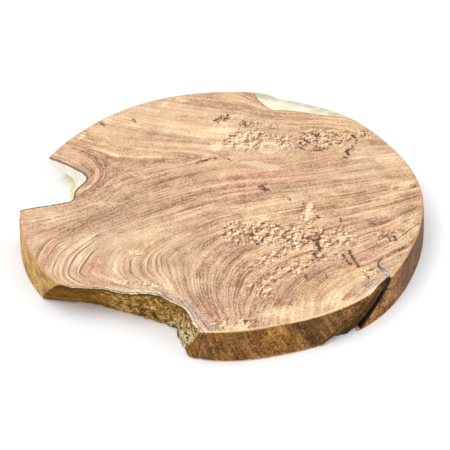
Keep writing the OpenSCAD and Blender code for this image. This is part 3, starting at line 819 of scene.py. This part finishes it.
def heartwood_top(g):
    """Colour and height of the finished face, from its figure and tints."""
    field = g.stored("grain")[0]
    pale, brown, pink = g.stored("tints")
    burl, knots, ladder = g.stored("marks")
    stain, worn, arches = g.stored("wear")
    light, striped, facing = g.stored("zones")
    warm, greyer, radius = g.stored("hue")
    x, y, z = g.place
    bands = along_grain(g, field, 0.12, 0.012)
    lines = along_grain(g, field, 0.33, 0.012, 1.5)
    hairs = along_grain(g, field, 0.7, 0.012, 1.5)
    pores = along_grain(g, field, 1.1, 0.12)
    cloud = g.noise((0.09, 0.09, 0.05), 3)
    grit = g.noise((0.75, 0.6, 0.5), 2)
    shifted = (g.plus(x, FLECK_SHIFT[0]), g.plus(y, FLECK_SHIFT[1]), z)
    crumbs, others = (g.noise((0.25, 0.2, 0.3), 3, 0.65, at) for at in (g.place, shifted))
    flecks_and_shade = g.plus(crumbs, others, -1)

    # The figure: along the grain, and curly in the burl, with a painted emboss of light and shade
    straight = g.summed(
        (bands, 0.7), (lines, 0.5), (hairs, 0.55), (pores, 0.4), (grit, 0.8), (cloud, 0.55)
    )
    calm = g.calc("MAXIMUM", g.times(light, CALM), g.times(arches, ARCH_CALM))
    straight = g.between(calm, straight, 0.5)
    curly = g.plus(g.summed((crumbs, 0.7), (grit, 0.8)), flecks_and_shade, 1.9)
    figure = g.between(g.step(burl, 0.1, 0.7), straight, curly)
    phase = g.plus(g.times(field, STRIPE_TURN), lines, 9)
    stripes = g.step(g.calc("SINE", phase), 0, 1)
    stripes = g.times(stripes, striped, g.step(g.plus(cloud, hairs), 0.75, 1.05))
    figure = g.plus(figure, stripes, -STRIPE_DEPTH)
    figure = g.plus(g.plus(figure, LEVEL), light, LIGHT_GAIN)
    base = g.ramp(
        figure,
        (0.12, 146, 104, 80), (0.36, 202, 163, 130), (0.5, 222, 185, 149),
        (0.64, 238, 204, 164), (0.88, 252, 231, 192),
    )
    uneven = g.summed((lines, 1.2), (hairs, 0.8), (cloud, 0.8), (grit, 0.8))
    fine = g.summed((hairs, 1.1), (grit, 1.1), (pores, 0.6))

    def tinted(under, mask, share, *shades):
        """Shades that keep the fine figure, over a mask with edges that follow the grain."""
        held = g.times(g.step(g.swayed(mask, uneven, 0.55), 0.1, 0.8), share)
        return g.mix(held, under, g.shades(fine, *shades))

    base = tinted(base, pink, 0.75, (176, 118, 98), (212, 160, 134), (234, 188, 158))
    base = tinted(base, brown, 0.7, (126, 90, 66), (178, 137, 106), (208, 169, 136))
    base = tinted(base, pale, 0.85, (226, 186, 140), (248, 220, 172), (255, 238, 200))
    drift = g.noise((0.025, 0.035, 0.03), 3)
    warmth = g.plus(warm, g.step(drift, 0.5, 0.68, 0, 0.6))
    base = g.mix(warmth, base, WARM_TINT, "MULTIPLY")
    greyness = g.plus(greyer, g.step(drift, 0.5, 0.34, 0, 0.5))
    base = g.mix(greyness, base, GREY_TINT, "MULTIPLY")

    # The arches' outlines, broken here and there
    near = g.step(arches, 0.15, 0.5)
    unbroken = g.step(g.plus(cloud, hairs, 0.5), 0.55, 0.85, 0.35, 1)
    outline = g.times(arch_outlines(g, field, PALE_ARCHES), near, unbroken, 0.75)
    base = g.mix(outline, base, colour(255, 236, 208))
    outline = g.times(arch_outlines(g, field, DARK_ARCHES), near, unbroken, 0.9)
    base = g.mix(outline, base, colour(138, 92, 70))

    # Flecks of the burl: pale flecks of the wood with painted shade beside them as an emboss, and
    # the ladder of cells by it
    clusters = g.step(g.noise((0.1, 0.1, 0.1), 2), 0.42, 0.58, 0.15, 1)
    flecked = g.times(g.step(burl, 0.15, 0.6), clusters)
    bright = g.times(g.step(flecks_and_shade, 0.045, 0.12), flecked, 0.9)
    base = g.mix(bright, base, colour(255, 234, 184))
    # Painted shade on one side of each pale fleck
    sunk = g.times(g.step(flecks_and_shade, -0.08, -0.14), flecked, 0.95)
    base = g.mix(sunk, base, colour(98, 60, 52))
    wave = g.calc("SINE", g.times(g.plus(x, y, -CELL_LEAN), math.tau / CELL_STEP))
    cells = g.mix(g.step(wave, -0.6, 0.5), colour(192, 148, 112), colour(255, 234, 200))
    base = g.mix(g.step(g.plus(ladder, grit, 6), 5, 0, 0, 0.75), base, cells)

    # Stained and worn wood
    purple = g.shades(fine, (112, 92, 92), (168, 144, 138), (214, 190, 174))
    base = g.mix(g.step(g.swayed(stain, uneven, 26), 9, -3, 0, 0.7), base, purple)
    grey = g.shades(fine, (170, 150, 122), (222, 208, 184), (246, 238, 222))
    base = g.mix(g.step(g.swayed(worn, uneven, 22), 8, -4, 0, 0.85), base, grey)

    # Knots and fissures, with a brown rim and a near-black middle
    broken = g.plus(g.plus(knots, crumbs, 9), grit, 9)
    base = g.mix(g.step(broken, 12.2, 9, 0, 0.55), base, colour(164, 116, 90))
    base = g.mix(g.step(broken, 10.2, 8, 0, 0.85), base, colour(70, 46, 46))

    # The eased edge: a painted highlight in cream at the front, and tan round the rest
    front = g.step(y, -60, -110)
    edge_tan_and_highlight = g.mix(front, colour(206, 148, 96), colour(242, 208, 158))
    base = g.mix(g.times(g.step(radius, 147.5, 150.5), front, 0.55), base, edge_tan_and_highlight)
    eased = g.times(g.step(facing, 0.998, 0.94, 0, 0.65), g.step(radius, 146, 149))
    base = g.mix(eased, base, edge_tan_and_highlight)
    return base, g.summed((pores, -0.8), (hairs, 0.5), (crumbs, 0.6))


def sawn_wall(g):
    """Colour and height of the sawn rim."""
    field, deep, _ = g.stored("grain")
    golden, orange, dark = g.stored("rim")
    inside, beside, _ = g.stored("cleft")
    x, y, z = g.place
    cloud = g.noise((0.06, 0.06, 0.09), 3, 0.6)
    slanted = (g.plus(x, z, 0.5), y, z)
    streaks = g.noise((0.42, 0.42, 0.07), 3, 0.65, slanted)
    grit = g.noise((0.8, 0.8, 0.6), 3, 0.65)
    layers = along_grain(g, field, 0.3, 0.02)
    tone = g.summed((cloud, 1.1), (streaks, 0.9), (grit, 1.5), (layers, 0.6))
    base = g.ramp(
        tone,
        (0.1, 58, 31, 7), (0.36, 114, 71, 22), (0.55, 153, 103, 39),
        (0.75, 184, 137, 67), (0.95, 212, 172, 108),
    )
    gold = g.ramp(tone, (0.2, 140, 96, 34), (0.5, 196, 150, 72), (0.8, 226, 188, 114))
    rust = g.ramp(tone, (0.25, 50, 26, 8), (0.5, 120, 72, 30), (0.78, 190, 136, 76))
    base = g.mix(orange, base, rust)
    base = g.mix(golden, base, gold)
    patches = g.step(g.plus(cloud, streaks, 0.4), 0.62, 0.8)
    base = g.mix(g.times(dark, g.step(patches, 0, 1, 0.45, 0.8)), base, colour(70, 40, 16))
    # A dark stain comes down from the edge at the front, in patches
    under = g.times(g.step(deep, 9, 2), g.step(g.plus(cloud, streaks), 1.02, 1.2))
    front = g.times(g.step(x, -34, -24), g.step(x, 34, 20), g.step(y, 0, -50))
    base = g.mix(g.times(under, front, 0.85), base, colour(76, 42, 18))
    # Beside the crack, painted shade with dark dirt, and inside it, painted shade
    ragged = g.times(beside, g.plus(streaks, grit, 0.8))
    base = g.mix(g.step(ragged, 0.35, 0.6, 0, 0.9), base, colour(24, 14, 8))
    base = g.mix(inside, base, colour(16, 11, 8))
    return base, g.summed((grit, 0.6), (streaks, 0.8))


def heartwood():
    """The finished faces and the sawn rim."""
    g = Graph("heartwood", 0.55, 0.2)
    top, top_height = heartwood_top(g)
    side, side_height = sawn_wall(g)
    steep = g.stored("grain")[2]
    base = g.mix(steep, top, side)
    return g.finish(base, g.mix(steep, top_height, side_height), 0.35)


def back_sapwood():
    """Cream wood, weathered towards the natural edge."""
    g = Graph("back_sapwood", 0.6, 0.28)
    field, _, steep = g.stored("grain")
    radius = g.stored("hue")[2]
    lines = along_grain(g, field, 0.3, 0.02)
    tone = g.summed((lines, 0.9), (g.noise((0.1, 0.1, 0.1), 2), 0.8))
    cream = g.ramp(tone, (0.25, 226, 212, 176), (0.5, 240, 231, 204), (0.75, 246, 240, 222))
    moss = along_grain(g, field, 0.3, 0.05, 4, 0.7)
    outer = g.swayed(g.step(radius, 134, 147), moss, 2.4)
    weathered = g.ramp(moss, (0.35, 124, 126, 106), (0.5, 186, 182, 154), (0.65, 232, 224, 196))
    base = g.mix(g.step(outer, 0.5, 1, 0, 0.85), cream, weathered)
    rough = g.noise((0.3, 0.3, 0.3), 4, 0.7)
    wall = g.ramp(rough, (0.3, 84, 76, 50), (0.5, 156, 140, 98), (0.7, 210, 192, 146))
    base = g.mix(steep, base, wall)
    return g.finish(base, g.plus(lines, rough), 0.4)


def notch_sapwood():
    """Ivory wood, yellow at its foot and with a dark line under the top."""
    g = Graph("notch_sapwood", 0.7, 0.25)
    deep = g.stored("grain")[1]
    streak = g.noise((0.5, 0.5, 0.08), 3, 0.6)
    cloud = g.noise((0.09, 0.09, 0.12), 3, 0.6)
    tone = g.summed((streak, 0.8), (cloud, 1.0))
    base = g.ramp(tone, (0.25, 236, 226, 200), (0.5, 248, 243, 228), (0.75, 252, 248, 238))
    low = g.step(g.plus(deep, cloud, 8), 21, 30)
    base = g.mix(g.times(low, 0.85), base, colour(236, 226, 150))
    wider = g.step(g.place[1], 40, 26, 0, 1.2)
    line = g.step(g.plus(g.plus(deep, streak, 1.6), wider, -1), 2.3, 1.2)
    base = g.mix(g.times(line, 0.85), base, colour(86, 64, 50))
    return g.finish(base, streak, 0.4)


# Where the sawn rim ends at the foot of the scallop, and how far it leans back with the height
SAWN_FOOT = -133.2
SAWN_LEAN = 0.54


def scallop_sapwood():
    """Layered brown wood at the left, pitted wood on the rest, and a whitish lip."""
    g = Graph("scallop_sapwood", 0.8, 0.08)
    deep = g.stored("grain")[1]
    stain = g.stored("wear")[0]
    facing = g.stored("zones")[2]
    x, y, z = g.place
    layers = g.noise((0.03, 0.05, 0.42), 4, 0.65)
    hatch = g.noise((0.7, 0.7, 0.1), 3, 0.65, (g.plus(x, z, 0.5), y, z))
    pits = g.noise((0.24, 0.22, 0.26), 4, 0.7)
    grit = g.noise((0.8, 0.8, 0.7), 3, 0.7)
    ragged_x = g.swayed(x, pits, 40)
    left = g.ramp(
        g.summed((layers, 1.5), (hatch, 0.7), (grit, 0.3)),
        (0.15, 74, 42, 4), (0.5, 136, 92, 26), (0.85, 196, 152, 72),
    )
    right_tone = g.summed((pits, 2.2), (grit, 1.2))
    right = g.ramp(
        right_tone,
        (0.15, 58, 36, 12), (0.38, 128, 90, 36), (0.58, 170, 130, 62), (0.85, 222, 190, 124),
    )
    beige = g.ramp(
        right_tone,
        (0.18, 92, 74, 44), (0.4, 172, 148, 102), (0.6, 206, 186, 142), (0.85, 232, 218, 182),
    )
    base = g.mix(g.step(ragged_x, -92, -74), left, right)
    base = g.mix(g.step(g.plus(ragged_x, deep, 0.7), -26, -14), base, beige)
    # Painted shade under the undercut lip: a dark band at the left, and a dark line on the rest
    reach = g.step(ragged_x, -96, -80, 14.5, 4.5)
    under = g.calc("DIVIDE", g.swayed(deep, layers, -14), reach)
    fade = g.step(ragged_x, -48, -26, 0.88, 0.4)
    tone = g.summed((layers, 1.0), (hatch, 0.9))
    under_lip_shade = g.shades(tone, (50, 26, 2), (86, 52, 10), (128, 88, 28))
    base = g.mix(g.times(g.step(under, 1.15, 0.45), fade), base, under_lip_shade)
    # The sawn rim runs in at the foot of the right end
    sawn = g.plus(g.plus(y, z, SAWN_LEAN), grit, 3)
    sawn = g.times(g.step(sawn, SAWN_FOOT + 1, SAWN_FOOT), g.step(x, -45, -40))
    tone = g.summed((hatch, 0.9), (grit, 0.6))
    rust = g.shades(tone, (70, 42, 12), (136, 92, 38), (184, 136, 68))
    base = g.mix(sawn, base, rust)
    # The lip on the top: whitish, and stained towards the right
    lip = g.ramp(g.summed((grit, 1.0), (hatch, 0.8)), (0.3, 176, 150, 118), (0.6, 240, 226, 196))
    lip = g.mix(g.step(stain, 2.0, -1.0, 0, 0.6), lip, colour(150, 132, 128))
    on_top = g.times(g.step(facing, 0.72, 0.93), g.step(deep, 2.4, 1.0))
    base = g.mix(on_top, base, lip)
    return g.finish(base, g.plus(pits, grit, 0.5), 0.9)


def bark():
    """Dark strands, brown at their left end and near black at the crack's mouth, where the black
    is painted shade with dark dirt.
    """
    g = Graph("bark", 0.85, 0.12)
    past_lip = g.stored("cleft")[2]
    across = 0.0
    for socket, share in zip(g.place, STRAND_ACROSS):
        across = g.plus(across, socket, share)
    z = g.place[2]
    strands = g.noise((0.5, 0.07, 0), 4, 0.7, (across, z, z))
    clods = g.noise((0.35, 0.35, 0.35), 3, 0.6)
    tone = g.summed((strands, 1.3), (clods, 0.7))
    base = g.ramp(
        tone, (0.3, 20, 13, 8), (0.5, 56, 38, 20), (0.66, 102, 72, 38), (0.85, 160, 124, 76)
    )
    left = g.ramp(tone, (0.25, 44, 26, 10), (0.5, 108, 76, 38), (0.75, 164, 126, 72))
    base = g.mix(g.step(g.plus(past_lip, clods, 8), -3, -13, 0, 0.85), base, left)
    # Painted shade with dark dirt at the crack's mouth
    crack = g.step(g.plus(past_lip, strands, 3), -2.6, -1.6)
    base = g.mix(crack, base, colour(10, 7, 5))
    return g.finish(base, tone, 0.9)


def filler():
    """Grey filler, darker towards its inner end."""
    g = Graph("filler", 0.75, 0.2)
    clods = g.noise((0.5, 0.5, 0.5), 4, 0.7)
    base = g.ramp(clods, (0.3, 132, 124, 118), (0.5, 190, 182, 170), (0.7, 228, 220, 206))
    inner = g.step(g.plus(g.place[1], clods, 6), -84, -77)
    base = g.mix(g.times(inner, 0.85), base, colour(84, 78, 88))
    return g.finish(base, clods, 0.6)


# The pieces

PIECES = [
    ("heartwood_slab", SLAB_VOXEL, slab_depth, heartwood, "heartwood"),
    ("sapwood_back", LINING_VOXEL, back_depth, back_sapwood, "back_sapwood"),
    ("sapwood_notch", LINING_VOXEL, notch_depth, notch_sapwood, "notch_sapwood"),
    ("sapwood_scallop", LINING_VOXEL, scallop_depth, scallop_sapwood, "scallop_sapwood"),
    ("cleft_bark", FINE_VOXEL, bark_depth, bark, "bark"),
    ("crack_filler", FINE_VOXEL, None, filler, "filler"),
]

for node, voxel, depth, finish, slot in PIECES:
    piece = dense(node, voxel)
    if depth:
        sunk = depth(piece.data)[:, None] * places(piece.data, "normal")
        set_places(piece.data, places(piece.data) - sunk * MM)
    paint(piece.data)
    piece.data.materials.append(finish())
    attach(piece, "root")
    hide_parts(node)


# Camera, light and floor

# The camera was fitted to the rim in the photograph, in the picture's pixels
PICTURE = 450
FOCUS = 2980.7
MIDDLE = (222.7, 220.7)
CAMERA_RISE = math.radians(36.82)
CAMERA_ROLL = math.radians(-1.26)
CAMERA_DISTANCE = 2.2373
SENSOR = 36.0

camera = placed("camera", bpy.data.cameras.new("camera"))
camera.data.sensor_width = SENSOR
camera.data.lens = FOCUS * SENSOR / PICTURE
camera.data.shift_x = (PICTURE / 2 - MIDDLE[0]) / PICTURE
camera.data.shift_y = (MIDDLE[1] - PICTURE / 2) / PICTURE
camera.matrix_world = (
    Matrix.Translation((0, 0, THICK * MM / 2))
    @ Matrix.Rotation(math.pi / 2 - CAMERA_RISE, 4, "X")
    @ Matrix.Rotation(CAMERA_ROLL, 4, "Z")
    @ Matrix.Translation((0, 0, CAMERA_DISTANCE))
)
bpy.context.scene.camera = camera


def add_lamp(name, place, size, power):
    """A square soft lamp that faces the board."""
    lamp = bpy.data.lights.new(name, "AREA")
    lamp.size = size
    lamp.energy = power
    holder = placed(name, lamp)
    holder.location = place
    holder.rotation_euler = (-Vector(place)).to_track_quat("-Z", "Y").to_euler()


add_lamp("key", (-0.55, -0.5, 1.6), 1.3, 13.6)
add_lamp("fill", (1.3, -0.4, 1.1), 1.5, 8)

# Half the floor's side and how far it lies under the board, in metres, and its colour
FLOOR_REACH = 3.0
FLOOR_DROP = 0.0002
FLOOR_WHITE = (0.95, 0.965, 0.995, 1)
corners = [(x * FLOOR_REACH, y * FLOOR_REACH, 0) for x, y in ((-1, -1), (1, -1), (1, 1), (-1, 1))]
floor_mesh = bpy.data.meshes.new("floor")
floor_mesh.from_pydata(corners, [], [(0, 1, 2, 3)])
floor = placed("floor", floor_mesh)
floor.location.z = -FLOOR_DROP
floor_graph = Graph("floor", 0.9, 0.0)
floor_graph.put(FLOOR_WHITE, floor_graph.shader.inputs["Base Color"])
floor_mesh.materials.append(floor_graph.material)

# The white surroundings light the board with this share of what the camera sees of them
SOFT_LIGHT = 0.75
world = bpy.data.worlds.new("studio")
bpy.context.scene.world = world
world.use_nodes = True
background = world.node_tree.nodes["Background"]
background.inputs["Color"].default_value = (1, 1, 1, 1)
around = Nodes(world.node_tree)
ray = around.make("ShaderNodeLightPath").outputs
seen = around.calc("MAXIMUM", ray["Is Camera Ray"], ray["Is Glossy Ray"])
strength = around.make("ShaderNodeMapRange", {0: seen, 3: SOFT_LIGHT, 4: 1.0})
around.put(strength.outputs[0], background.inputs["Strength"])

bpy.context.scene.view_settings.view_transform = "Standard"
